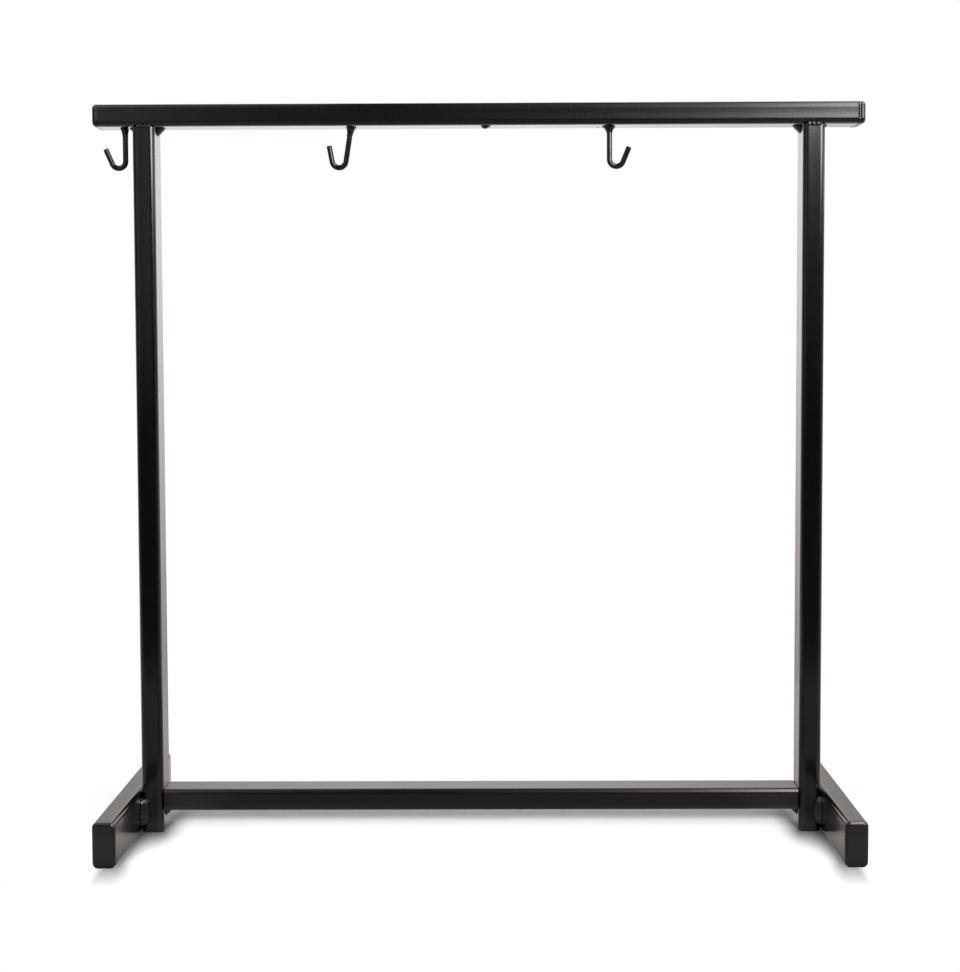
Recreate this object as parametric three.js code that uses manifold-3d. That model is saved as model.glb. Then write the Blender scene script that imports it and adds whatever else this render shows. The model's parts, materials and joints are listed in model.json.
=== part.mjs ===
// Gong stand of welded rectangular steel tube, powder coated satin black.
// Millimetres, +Z up, +X to the right, -Y towards the front.
// The origin is on the floor, midway between the uprights and midway along the feet.

import * as THREE from 'three';
import { mergeVertices } from 'three/addons/utils/BufferGeometryUtils.js';
import Module from 'manifold-3d';

// Tube and rod stock
const tubeThin = 25.4;           // short side of the tube's section
const tubeDeep = 50.8;           // long side of the tube's section
const tubeWall = 3.05;
const tubeCorner = 6.1;          // outside corner radius, twice the wall
const rodDiameter = 6.35;

// Frame
const innerWidth = 736.6;        // between the inner faces of the uprights
const standHeight = 838.2;       // floor to the top of the rail
const railOverhang = 45.5;       // end of the rail past an upright's outer face
const crossbarLift = 25;         // floor to the underside of the crossbar
const footLength = 393.7;        // over the end caps

// End caps
const capPlate = 4.8;
const capEdge = 4.2;             // rounding of the plate's outer edge
const capSeam = 1.6;             // weld between the tube's end and the plate
const capSeamRelief = 0.4;       // how far the seam lies below the tube's faces
const capSeamDepth = 2.4;        // wall of the seam, outside to inside

// Hooks
const hookDrop = 48.6;           // rail's underside to the lowest point of a hook
const hookBend = 8;              // centreline radius of the bend
const malletHookFlare = 23.5;    // degrees that its leg opens away from the shank
const leftGongHookFlare = 19.3;
const rightGongHookFlare = 22.6;
const hookLeg = 18.6;            // straight part of the leg
const malletHookReach = 11.6;    // left upright's outer face to the mallet hook
const gongHookSpacing = 296.2;   // between the two gong hooks
const gongHookShift = 1.8;       // middle of that pair to the right of the centre
const gongHookLean = 8.8;        // degrees that the left gong hook leans
const leftGongHookExtra = 1.9;   // how much longer the left gong hook is than the others

// Welds
const weldGap = 0.3;             // clearance between a weld and what it lies on
const ripplePitch = 2.6;
const rippleDepth = 0.07;        // share of the bead's size
const beadCrown = 0.32;          // bulge of a fillet's face, as a share of its legs
const beadTaper = 0.18;          // share by which a bead draws in at its ends
const stitchLength = 15;
const stitchShift = 4;           // stitches lie this far behind the middle of the tube
const innerStitchLeg = 9;
const leftOuterStitchLeg = 6.2;
const rightOuterStitchLeg = 5;
const crossbarStitchLeg = 9;
const footBeadLeg = 9.5;
const footBeadLength = 33;
const footBeadLift = 8;          // floor to the lower end of the standing bead
const seamBeadLength = 18;
const seamBeadHeight = 6.4;
const seamBeadDepth = 4.2;       // front to back of its section, before it is cut to fit
const seamBeadProud = 1.3;       // how far the seam bead stands out of the faces
const seamBeadDrop = 0.8;        // its middle below the rail's underside
const rootRim = 0.9;             // thickness of a root weld where it ends on the rod
const rootLumps = { height: 0.08, count: 3, twist: 2.4, start: 0.6 };
const nubWidth = 12.4;
const nubDepth = 9;
const nubHeight = 3.5;
const nubShift = 8.5;            // right of the rail's middle
const nubInset = 11.4;           // behind the rail's front face

// Places worked out from the sizes above
const innerFace = innerWidth / 2;
const outerFace = innerFace + tubeThin;
const railHalf = outerFace + railOverhang;
const railUnderside = standHeight - tubeThin;
const faceY = tubeDeep / 2;
const footX = outerFace + tubeThin / 2;
const closure = capSeam + capPlate;
const rodRadius = rodDiameter / 2;
const rad = THREE.MathUtils.degToRad;

// Fineness
const cornerSteps = 3;           // a tube's corner gets twice as many flats
const edgeSteps = 4;
const rodSides = 14;
const rodSteps = 30;
const beadSides = 10;
const lumpSides = 14;
const lumpLevels = 5;

const wasm = await Module();
wasm.setup();

const steel = () => new THREE.MeshStandardMaterial({ color: 0x1c1c1d, roughness: 0.36, metalness: 0 });
const plate = () => new THREE.MeshStandardMaterial({ color: 0x1f1f20, roughness: 0.38, metalness: 0 });
const rod = () => new THREE.MeshStandardMaterial({ color: 0x202021, roughness: 0.32, metalness: 0 });
const weld = () => new THREE.MeshStandardMaterial({ color: 0x181818, roughness: 0.42, metalness: 0 });

const stand = new THREE.Group();
stand.name = 'gong_stand';

// Names a solid, gives it its finish and puts it in the stand.
function add(name, geometry, material, parent = stand) {
  const mesh = new THREE.Mesh(geometry, material);
  mesh.name = name;
  parent.add(mesh);
  return mesh;
}

// Rounded rectangle about the origin, counterclockwise.
function roundedOutline(width, height, radius, Outline = THREE.Shape) {
  const x = width / 2;
  const y = height / 2;
  const r = Math.min(radius, x, y);
  const outline = new Outline();
  outline.absarc(x - r, y - r, r, 0, Math.PI / 2);
  outline.absarc(r - x, y - r, r, Math.PI / 2, Math.PI);
  outline.absarc(r - x, r - y, r, Math.PI, 1.5 * Math.PI);
  outline.absarc(x - r, r - y, r, 1.5 * Math.PI, 2 * Math.PI);
  outline.closePath();
  return outline;
}

// Hollow rectangular section, tubeThin along X and tubeDeep along Y, pushed along +Z.
function hollowSection(inset, wall, length) {
  const width = tubeThin - 2 * inset;
  const depth = tubeDeep - 2 * inset;
  const radius = tubeCorner - inset;
  const outline = roundedOutline(width, depth, radius);
  outline.holes.push(roundedOutline(width - 2 * wall, depth - 2 * wall, Math.max(radius - wall, 0.8), THREE.Path));
  return new THREE.ExtrudeGeometry(outline, { depth: length, bevelEnabled: false, curveSegments: cornerSteps });
}

// Closed skin over a row of rings that all have the same number of points.
function loft(rings) {
  const around = rings[0].length;
  const positions = rings.flat().flatMap((point) => point.toArray());
  const faces = [];
  for (let i = 0; i < rings.length - 1; i += 1) {
    for (let j = 0; j < around; j += 1) {
      const a = i * around + j;
      const b = i * around + (j + 1) % around;
      faces.push(a, b, b + around, a, b + around, a + around);
    }
  }
  const last = (rings.length - 1) * around;
  for (let j = 1; j < around - 1; j += 1) {
    faces.push(0, j + 1, j);
    faces.push(last, last + j, last + j + 1);
  }
  const geometry = new THREE.BufferGeometry();
  geometry.setAttribute('position', new THREE.Float32BufferAttribute(positions, 3));
  geometry.setIndex(faces);
  geometry.computeVertexNormals();
  return geometry;
}

// Joins and cuts work on solids in the stand's own frame.
function toSolid(geometry, matrix = new THREE.Matrix4()) {
  const bare = geometry.clone().applyMatrix4(matrix);
  bare.deleteAttribute('normal');
  bare.deleteAttribute('uv');
  const merged = mergeVertices(bare, 1e-4);
  const vertProperties = new Float32Array(merged.attributes.position.array);
  const triVerts = new Uint32Array(merged.index.array);
  return new wasm.Manifold(new wasm.Mesh({ numProp: 3, vertProperties, triVerts }));
}

function toGeometry(solid) {
  const mesh = solid.getMesh();
  const geometry = new THREE.BufferGeometry();
  geometry.setAttribute('position', new THREE.BufferAttribute(mesh.vertProperties, 3));
  geometry.setIndex(new THREE.BufferAttribute(mesh.triVerts, 1));
  geometry.computeVertexNormals();
  return geometry;
}

// A tube's outside grown by the weld clearance, for cutting a weld to fit.
function grownTube(length) {
  const grow = 2 * weldGap;
  const outline = roundedOutline(tubeThin + grow, tubeDeep + grow, tubeCorner + weldGap);
  const geometry = new THREE.ExtrudeGeometry(outline, {
    depth: length + grow, bevelEnabled: false, curveSegments: cornerSteps,
  });
  return geometry.translate(0, 0, -weldGap);
}

// Top rail and crossbar, lying flat along X

function tubeAlongX(name, length, z) {
  const mesh = add(name, hollowSection(0, tubeWall, length), steel());
  mesh.rotation.y = Math.PI / 2;
  mesh.position.set(-length / 2, 0, z + tubeThin / 2);
  return mesh;
}

const rail = tubeAlongX('top_rail', 2 * (railHalf - closure), railUnderside);
tubeAlongX('lower_crossbar', innerWidth, crossbarLift);

// Uprights, standing on the floor and butted under the rail

const uprights = {};
for (const [side, sign] of [['left', -1], ['right', 1]]) {
  const upright = add(`${side}_upright`, hollowSection(0, tubeWall, railUnderside), steel());
  upright.position.x = sign * (innerFace + tubeThin / 2);
  uprights[side] = upright;
}

// Feet, on edge along Y against the outer faces of the uprights

for (const [side, sign] of [['left', -1], ['right', 1]]) {
  const length = footLength - 2 * closure;
  const foot = add(`${side}_foot`, hollowSection(0, tubeWall, length), steel());
  foot.rotation.x = -Math.PI / 2;
  foot.position.set(sign * footX, -length / 2, tubeDeep / 2);
}

// End caps: a seam weld on the tube's end, then a plate with a rounded outer edge

function capGeometry() {
  const ring = (height, inset) => {
    const outline = roundedOutline(tubeThin - 2 * inset, tubeDeep - 2 * inset, tubeCorner - inset);
    const points = outline.getPoints(cornerSteps).slice(0, -1);
    return points.map((point) => new THREE.Vector3(point.x, point.y, height));
  };
  const rings = [ring(0, 0)];
  for (let i = 0; i <= edgeSteps; i += 1) {
    const turn = (i / edgeSteps) * (Math.PI / 2);
    rings.push(ring(capPlate - capEdge * (1 - Math.sin(turn)), capEdge * (1 - Math.cos(turn))));
  }
  return loft(rings);
}

function closeEnd(name, x, y, z, turnX, turnY) {
  const end = new THREE.Group();
  end.position.set(x, y, z);
  end.rotation.set(turnX, turnY, 0);
  stand.add(end);
  add(`${name}_seam`, hollowSection(capSeamRelief, capSeamDepth, capSeam), weld(), end);
  add(name, capGeometry(), plate(), end).position.z = capSeam;
}

for (const [side, sign] of [['left', -1], ['right', 1]]) {
  const railEnd = railHalf - closure;
  const footEnd = footLength / 2 - closure;
  closeEnd(`rail_cap_${side}`, sign * railEnd, 0, railUnderside + tubeThin / 2, 0, sign * Math.PI / 2);
  closeEnd(`${side}_foot_cap_front`, sign * footX, -footEnd, tubeDeep / 2, Math.PI / 2, 0);
  closeEnd(`${side}_foot_cap_back`, sign * footX, footEnd, tubeDeep / 2, -Math.PI / 2, 0);
}

// Hooks: one bent rod each, hanging from its own root, which is the origin of its path

class HookPath extends THREE.Curve {
  constructor(shank, flare) {
    super();
    this.shank = shank;
    this.sweep = Math.PI - flare;
    this.bendLength = hookBend * this.sweep;
  }

  getPoint(t, target = new THREE.Vector3()) {
    const along = t * (this.shank + this.bendLength + hookLeg);
    if (along < this.shank) return target.set(0, 0, -along);
    const turn = Math.min((along - this.shank) / hookBend, this.sweep);
    const straight = Math.max(along - this.shank - this.bendLength, 0);
    const x = hookBend * (1 - Math.cos(turn)) + straight * Math.sin(turn);
    const z = -this.shank - hookBend * Math.sin(turn) - straight * Math.cos(turn);
    return target.set(x, 0, z);
  }
}

function rodAlong(path, radius) {
  const section = new THREE.Shape();
  section.absarc(0, 0, radius, 0, 2 * Math.PI);
  return new THREE.ExtrudeGeometry(section, {
    extrudePath: path, steps: rodSteps, curveSegments: rodSides / 2, bevelEnabled: false,
  });
}

// Lumpy cone of weld from the rail's underside down round the shank.
// Its flat top is level, and each ring follows the shank when it leans.
function rootWeld({ weldReachX, weldReachY, weldHeight, weldShift }, lean) {
  const rings = [];
  for (let i = 0; i <= lumpLevels; i += 1) {
    const share = i / lumpLevels;
    const depth = weldGap + share * (weldHeight - weldGap);
    const swell = (1 - share) ** 2;
    const ring = [];
    for (let j = 0; j < lumpSides; j += 1) {
      const angle = (j / lumpSides) * 2 * Math.PI;
      const wave = Math.cos(rootLumps.count * angle + rootLumps.twist * share + rootLumps.start);
      const lump = 1 + rootLumps.height * wave * swell;
      const thin = rodRadius / Math.cos(lean) + rootRim;
      const x = (thin + (weldReachX - thin) * swell) * lump * Math.cos(angle) + weldShift * swell;
      const y = (thin + (weldReachY - thin) * swell) * lump * Math.sin(angle);
      ring.push(new THREE.Vector3(x - depth * Math.tan(lean), y, -depth));
    }
    rings.push(ring.reverse());
  }
  return loft(rings);
}

const hooks = [
  {
    name: 'mallet_hook', x: -outerFace - malletHookReach,
    opens: -1, lean: 0, flare: malletHookFlare, extra: 0,
    weldReachX: 5.3, weldReachY: 5.6, weldHeight: 9.5, weldShift: -1.4,
  },
  {
    name: 'gong_hook_left', x: gongHookShift - gongHookSpacing / 2,
    opens: -1, lean: gongHookLean, flare: leftGongHookFlare, extra: leftGongHookExtra,
    weldReachX: 5.8, weldReachY: 6, weldHeight: 9.5, weldShift: 0.9,
  },
  {
    name: 'gong_hook_right', x: gongHookShift + gongHookSpacing / 2,
    opens: 1, lean: 0, flare: rightGongHookFlare, extra: 0,
    weldReachX: 8.3, weldReachY: 6, weldHeight: 8, weldShift: -1.5,
  },
];

for (const hook of hooks) {
  const lean = rad(hook.lean);
  const rootSink = lean ? rodRadius * Math.sin(lean) + weldGap : 0;
  const shank = hookDrop + hook.extra - rodRadius - hookBend - rootSink;
  const root = new THREE.Group();
  root.position.set(hook.x, 0, railUnderside - rootSink);
  root.rotation.set(0, lean, hook.opens > 0 ? 0 : Math.PI, 'YXZ');
  stand.add(root);
  add(hook.name, rodAlong(new HookPath(shank, rad(hook.flare)), rodRadius), rod(), root);
  root.updateMatrixWorld(true);

  const place = new THREE.Matrix4().makeTranslation(hook.x, 0, railUnderside);
  const lump = toSolid(rootWeld(hook, lean), place);
  const bore = new THREE.CylinderGeometry(rodRadius + weldGap, rodRadius + weldGap, 2 * hookDrop, rodSides);
  bore.rotateX(Math.PI / 2);
  add(`${hook.name}_weld`, toGeometry(lump.subtract(toSolid(bore, root.matrixWorld))), weld());
}

// Small nub of weld under the rail, near its front face.
// Its profile is given as shares of its half width and of its height.

const nubProfile = [[0, -1], [0.32, -0.94], [0.6, -0.7], [0.83, -0.34], [1, 0], [0, 0]];
const nubPoints = nubProfile.map(([reach, drop]) => new THREE.Vector2((reach * nubWidth) / 2, drop * nubHeight));
const nubGeometry = new THREE.LatheGeometry(nubPoints, lumpSides);
nubGeometry.rotateX(Math.PI / 2);
nubGeometry.scale(1, nubDepth / nubWidth, 1);
add('rail_weld_nub', nubGeometry, weld()).position.set(nubShift, nubInset - faceY, railUnderside);

// Ripples of a hand-laid bead: a row of scallops, drawn in a little at both ends
function bead(share, length) {
  const count = Math.max(Math.round(length / ripplePitch), 2);
  const scallop = Math.abs(Math.sin(Math.PI * count * share));
  const end = Math.min(share, 1 - share) * length;
  const taper = Math.min(1, 1 - beadTaper * (1 - end / ripplePitch));
  return taper * (1 - rippleDepth * (1 - scallop));
}

function beadStations(length) {
  const count = Math.max(Math.round(length / ripplePitch), 2);
  const steps = 2 * count;
  return Array.from({ length: steps + 1 }, (_, i) => i / steps);
}

// Fillet weld in a corner: legs along local +X and +Y, the bead along +Z.
function filletGeometry(leg, length) {
  const rings = beadStations(length).map((share) => {
    const reach = leg * bead(share, length);
    const z = (share - 0.5) * length;
    const ring = [new THREE.Vector3(weldGap, weldGap, z)];
    for (let i = 0; i <= edgeSteps; i += 1) {
      const s = i / edgeSteps;
      const crown = 1 + beadCrown * s * (1 - s);
      const x = weldGap + (reach - weldGap) * (1 - s) * crown;
      const y = weldGap + (reach - weldGap) * s * crown;
      ring.push(new THREE.Vector3(x, y, z));
    }
    return ring;
  });
  return loft(rings);
}

function fillet(name, leg, length, corner, legX, legY) {
  const mesh = add(name, filletGeometry(leg, length), weld());
  const along = new THREE.Vector3().crossVectors(legX, legY);
  mesh.quaternion.setFromRotationMatrix(new THREE.Matrix4().makeBasis(legX, legY, along));
  mesh.position.copy(corner);
}

// Seam weld across a flush face, cut to fit the rail and the upright behind it.
function seamBead(name, side, sign, face) {
  const rings = beadStations(seamBeadLength).map((share) => {
    const size = bead(share, seamBeadLength);
    const ring = [];
    for (let j = 0; j < beadSides; j += 1) {
      const angle = (j / beadSides) * 2 * Math.PI;
      const y = (seamBeadDepth / 2) * size * Math.cos(angle);
      const z = (seamBeadHeight / 2) * size * Math.sin(angle);
      ring.push(new THREE.Vector3((share - 0.5) * seamBeadLength, y, z));
    }
    return ring;
  });
  const x = sign * (innerFace + tubeThin / 2);
  const y = face * (faceY + seamBeadProud - seamBeadDepth / 2);
  const z = railUnderside - seamBeadDrop;
  const blank = toSolid(loft(rings), new THREE.Matrix4().makeTranslation(x, y, z));
  rail.updateMatrixWorld(true);
  uprights[side].updateMatrixWorld(true);
  const overRail = toSolid(grownTube(2 * railHalf), rail.matrixWorld);
  const overUpright = toSolid(grownTube(railUnderside), uprights[side].matrixWorld);
  add(name, toGeometry(blank.subtract(overRail).subtract(overUpright)), weld());
}

const up = new THREE.Vector3(0, 0, 1);
const down = new THREE.Vector3(0, 0, -1);
for (const [side, sign] of [['left', -1], ['right', 1]]) {
  const inward = new THREE.Vector3(-sign, 0, 0);
  const outward = new THREE.Vector3(sign, 0, 0);

  const innerTop = new THREE.Vector3(sign * innerFace, stitchShift, railUnderside);
  const outerTop = new THREE.Vector3(sign * outerFace, stitchShift, railUnderside);
  const outerLeg = side === 'left' ? leftOuterStitchLeg : rightOuterStitchLeg;
  fillet(`${side}_upright_weld_inner`, innerStitchLeg, stitchLength, innerTop, inward, down);
  fillet(`${side}_upright_weld_outer`, outerLeg, stitchLength, outerTop, outward, down);
  seamBead(`${side}_upright_weld_front`, side, sign, -1);
  seamBead(`${side}_upright_weld_back`, side, sign, 1);

  const underBar = new THREE.Vector3(sign * innerFace, 0, crossbarLift);
  fillet(`crossbar_weld_${side}`, crossbarStitchLeg, stitchLength, underBar, inward, down);

  for (const [end, face] of [['front', -1], ['back', 1]]) {
    const away = new THREE.Vector3(0, face, 0);
    const corner = new THREE.Vector3(sign * outerFace, face * faceY, footBeadLift + footBeadLength / 2);
    fillet(`${side}_foot_weld_${end}`, footBeadLeg, footBeadLength, corner, inward, away);
  }
}

export default stand;
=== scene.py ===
# Gong stand of welded rectangular steel tube under satin black powder coat, in a white studio.
# Everything is in metres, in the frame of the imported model.

import json
import math
import random
from functools import partial

import bmesh
import bpy
from mathutils import Matrix, Vector, noise

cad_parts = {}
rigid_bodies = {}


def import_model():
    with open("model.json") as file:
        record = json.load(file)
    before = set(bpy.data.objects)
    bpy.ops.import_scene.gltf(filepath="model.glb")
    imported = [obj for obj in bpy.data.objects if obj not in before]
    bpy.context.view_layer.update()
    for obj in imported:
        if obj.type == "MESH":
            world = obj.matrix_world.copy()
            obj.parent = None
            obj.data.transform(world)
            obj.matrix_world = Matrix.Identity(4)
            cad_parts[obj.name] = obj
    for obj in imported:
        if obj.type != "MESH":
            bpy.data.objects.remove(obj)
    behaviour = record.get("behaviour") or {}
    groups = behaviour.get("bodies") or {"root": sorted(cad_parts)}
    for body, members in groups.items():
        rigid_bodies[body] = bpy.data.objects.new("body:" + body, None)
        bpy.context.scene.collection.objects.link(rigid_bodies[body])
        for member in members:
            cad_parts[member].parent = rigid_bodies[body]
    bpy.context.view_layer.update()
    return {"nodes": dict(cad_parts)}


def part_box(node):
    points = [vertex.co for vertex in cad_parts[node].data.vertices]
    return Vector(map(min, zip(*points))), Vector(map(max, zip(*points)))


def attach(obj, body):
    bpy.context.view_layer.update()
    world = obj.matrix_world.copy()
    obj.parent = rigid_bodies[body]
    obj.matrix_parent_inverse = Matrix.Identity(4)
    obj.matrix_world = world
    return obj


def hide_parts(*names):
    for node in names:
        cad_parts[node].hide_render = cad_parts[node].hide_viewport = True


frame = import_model()
scene = bpy.context.scene
scene.view_settings.view_transform = "Standard"
print("frame loaded with", len(frame["nodes"]), "nodes")


# Camera

camera = {
    "place": (0.01927, -2.42665, 0.56591),
    "yaw": -0.00786,            # radians, towards the right
    "pitch": 0.06805,           # radians, downwards
    "roll": -0.00367,
    "focalPixels": 2098.09,
    "longSidePixels": 972,
    "sensor": 36.0,             # mm, over the long side
    "clipEnd": 40.0,
}


def placeCamera():
    yaw, pitch, roll = camera["yaw"], camera["pitch"], camera["roll"]
    forward = Vector((math.sin(yaw) * math.cos(pitch), math.cos(yaw) * math.cos(pitch), -math.sin(pitch)))
    level = Vector((math.cos(yaw), -math.sin(yaw), 0))
    above = level.cross(forward)
    right = level * math.cos(roll) + above * math.sin(roll)
    up = above * math.cos(roll) - level * math.sin(roll)
    data = bpy.data.cameras.new("studioCamera")
    data.sensor_fit = "AUTO"
    data.sensor_width = camera["sensor"]
    data.lens = camera["focalPixels"] * camera["sensor"] / camera["longSidePixels"]
    data.clip_end = camera["clipEnd"]
    eye = bpy.data.objects.new("studioCamera", data)
    scene.collection.objects.link(eye)
    turn = Matrix((right, up, -forward)).transposed().to_4x4()
    eye.matrix_world = Matrix.Translation(camera["place"]) @ turn
    scene.camera = eye


placeCamera()
print("camera placed")


# Node trees

def addNode(tree, kind, inputs=None, **settings):
    node = tree.nodes.new(kind)
    for name, value in settings.items():
        setattr(node, name, value)
    for key, value in (inputs or {}).items():
        socket = node.inputs[key]
        if isinstance(value, bpy.types.NodeSocket):
            tree.links.new(value, socket)
        else:
            socket.default_value = value
    return node


def addMath(tree, operation, *values, clamp=False):
    node = addNode(tree, "ShaderNodeMath", dict(enumerate(values)), operation=operation, use_clamp=clamp)
    return node.outputs[0]


def addNoise(tree, vector, scale, detail=2.0, roughness=0.5):
    node = addNode(tree, "ShaderNodeTexNoise", {"Scale": scale, "Detail": detail, "Roughness": roughness})
    if vector is not None:
        tree.links.new(vector, node.inputs["Vector"])
    return node.outputs["Fac"]


def addRange(tree, value, fromLow, fromHigh, toLow=0.0, toHigh=1.0):
    inputs = {"Value": value, "From Min": fromLow, "From Max": fromHigh, "To Min": toLow, "To Max": toHigh}
    return addNode(tree, "ShaderNodeMapRange", inputs).outputs["Result"]


def addBlend(tree, share, first, second):
    node = addNode(tree, "ShaderNodeMix", {0: share}, data_type="RGBA")
    for index, colour in ((6, first), (7, second)):
        if isinstance(colour, bpy.types.NodeSocket):
            tree.links.new(colour, node.inputs[index])
        else:
            node.inputs[index].default_value = (*colour, 1.0)
    return node.outputs[2]


# Follows a row of (place, value) stops.
def addProfile(tree, value, stops):
    low, high = stops[0][0], stops[-1][0]
    node = addNode(tree, "ShaderNodeValToRGB", {"Fac": addRange(tree, value, low, high)})
    points = node.color_ramp.elements
    for index, (place, level) in enumerate(stops):
        share = (place - low) / (high - low)
        point = points[index] if index < 2 else points.new(share)
        point.position = share
        point.color = (level, level, level, 1.0)
    return node.outputs["Color"]


# Finishes

# what every coated surface has in common
coat = {
    "ior": 1.5,
    "patchScale": 90.0,          # patches where an edge is rubbed
    "patchLimits": (0.42, 0.62),
    "rubbedGloss": -0.04,
    "rubbedShare": 0.35,
    "dustScale": 55.0,
    "dustAbove": 0.86,           # share of the cells that hold no grain
    "dustSize": 0.02,
    "dustTone": (0.09, 0.085, 0.08),
}


def powderCoat(name, finish):
    material = bpy.data.materials.new(name)
    material.use_nodes = True
    tree = material.node_tree
    tree.nodes.clear()
    place = addNode(tree, "ShaderNodeTexCoord").outputs["Object"]

    # orange peel of the powder, over the slower waves of the steel below it
    normal = None
    for scale, depth in finish["relief"]:
        height = addNoise(tree, place, scale)
        bump = addNode(tree, "ShaderNodeBump", {"Height": height, "Distance": depth})
        if normal:
            tree.links.new(normal, bump.inputs["Normal"])
        normal = bump.outputs["Normal"]
    if "grindDepth" in finish:
        stretch = addNode(tree, "ShaderNodeMapping", {"Vector": place, "Scale": finish["grindStretch"]})
        scratches = addNoise(tree, stretch.outputs["Vector"], 1.0, 3.0, 0.6)
        grind = addNode(tree, "ShaderNodeBump", {
            "Height": scratches, "Distance": finish["grindDepth"], "Normal": normal})
        normal = grind.outputs["Normal"]

    # cloudy gloss, a little smoother where hands and cords rub the edges
    clouds = addNoise(tree, place, finish["cloudScale"], 4.0, 0.6)
    gloss = addRange(tree, clouds, 0.3, 0.7, *finish["roughness"])
    edge = addNode(tree, "ShaderNodeAttribute", attribute_name="edgeWear").outputs["Fac"]
    patches = addRange(tree, addNoise(tree, place, coat["patchScale"], 3.0), *coat["patchLimits"])
    rub = addMath(tree, "MULTIPLY", edge, patches)
    gloss = addMath(tree, "MULTIPLY_ADD", rub, coat["rubbedGloss"], gloss)

    # black pigment with faint clouds, greyer on rubbed edges, and a few grains of pale dust
    cloudy = addRange(tree, clouds, 0.25, 0.75)
    tone = addBlend(tree, cloudy, finish["darkTone"], finish["lightTone"])
    tone = addBlend(tree, addMath(tree, "MULTIPLY", rub, coat["rubbedShare"]), tone, finish["rubbedTone"])
    grains = addNode(tree, "ShaderNodeTexVoronoi", {"Vector": place, "Scale": coat["dustScale"]})
    chosen = addMath(tree, "GREATER_THAN", grains.outputs["Color"], coat["dustAbove"])
    small = addMath(tree, "LESS_THAN", grains.outputs["Distance"], coat["dustSize"])
    tone = addBlend(tree, addMath(tree, "MULTIPLY", chosen, small), tone, coat["dustTone"])

    surface = addNode(tree, "ShaderNodeBsdfPrincipled", {
        "Base Color": tone, "Roughness": gloss, "Normal": normal, "IOR": coat["ior"], "Coat Weight": 1.0,
        "Coat Roughness": finish["coatRoughness"], "Coat IOR": coat["ior"], "Coat Normal": normal})
    output = addNode(tree, "ShaderNodeOutputMaterial")
    tree.links.new(surface.outputs["BSDF"], output.inputs["Surface"])
    return material


tubeFinish = {
    "darkTone": (0.0019, 0.0017, 0.0016), "lightTone": (0.0029, 0.0026, 0.0024),
    "rubbedTone": (0.011, 0.0105, 0.01), "roughness": (0.15, 0.19), "coatRoughness": 0.13,
    "relief": ((32.0, 0.00004), (190.0, 0.000008), (800.0, 0.0000005)), "cloudScale": 45.0,
}
plateFinish = {
    **tubeFinish, "roughness": (0.24, 0.3), "coatRoughness": 0.23,
    "grindDepth": 0.000002, "grindStretch": (420.0, 420.0, 60.0),
}
rodFinish = {
    **tubeFinish, "roughness": (0.14, 0.18), "coatRoughness": 0.11,
    "relief": ((90.0, 0.00001), (900.0, 0.0000003)),
}
weldFinish = {
    **tubeFinish, "roughness": (0.18, 0.26), "coatRoughness": 0.15,
    "relief": ((150.0, 0.000004), (900.0, 0.0000003)),
}
finishes = {
    "frame_tube": powderCoat("tubePowder", tubeFinish),
    "cap_plate": powderCoat("platePowder", plateFinish),
    "hook_rod": powderCoat("rodPowder", rodFinish),
    "weld_bead": powderCoat("weldPowder", weldFinish),
}
print("finishes made")


# Meshes

flatWeight = 80                  # how firmly the large flats hold their normals
edgeWear = {"corner": 1.0, "cornerEnd": 0.4, "flat": 0.0}


def finishPiece(name, mesh, slot, *nodes, weighted=False):
    piece = bpy.data.objects.new(name, mesh)
    scene.collection.objects.link(piece)
    mesh.name = name
    mesh.materials.clear()
    mesh.materials.append(finishes[slot])
    mesh.shade_smooth()
    if weighted:
        modifier = piece.modifiers.new("flatFaces", "WEIGHTED_NORMAL")
        modifier.mode = "FACE_AREA"
        modifier.weight = flatWeight
    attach(piece, "root")
    if nodes:
        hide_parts(*nodes)
    return piece


def turnOutwards(mesh, weld=0.0):
    work = bmesh.new()
    work.from_mesh(mesh)
    if weld:
        bmesh.ops.remove_doubles(work, verts=work.verts, dist=weld)
        bmesh.ops.dissolve_degenerate(work, dist=weld, edges=work.edges)
    bmesh.ops.recalc_face_normals(work, faces=work.faces)
    work.to_mesh(mesh)
    work.free()
    return mesh


# Skin over a row of rings; closed joins the last ring to the first, else the ends are capped.
def meshOf(rings, closed=False, edge=None):
    around = len(rings[0])
    points = [point for ring in rings for point in ring]
    faces = []
    count = len(rings)
    for i in range(count if closed else count - 1):
        for j in range(around):
            a = i * around + j
            b = i * around + (j + 1) % around
            c = ((i + 1) % count) * around + (j + 1) % around
            d = ((i + 1) % count) * around + j
            faces.append((a, b, c, d))
    if not closed:
        faces.append(tuple(range(around - 1, -1, -1)))
        faces.append(tuple(range((count - 1) * around, count * around)))
    mesh = bpy.data.meshes.new("loft")
    mesh.from_pydata(points, [], faces)
    if edge:
        wear = mesh.attributes.new("edgeWear", "FLOAT", "POINT")
        wear.data.foreach_set("value", [value for ring in edge for value in ring])
    return turnOutwards(mesh)


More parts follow.
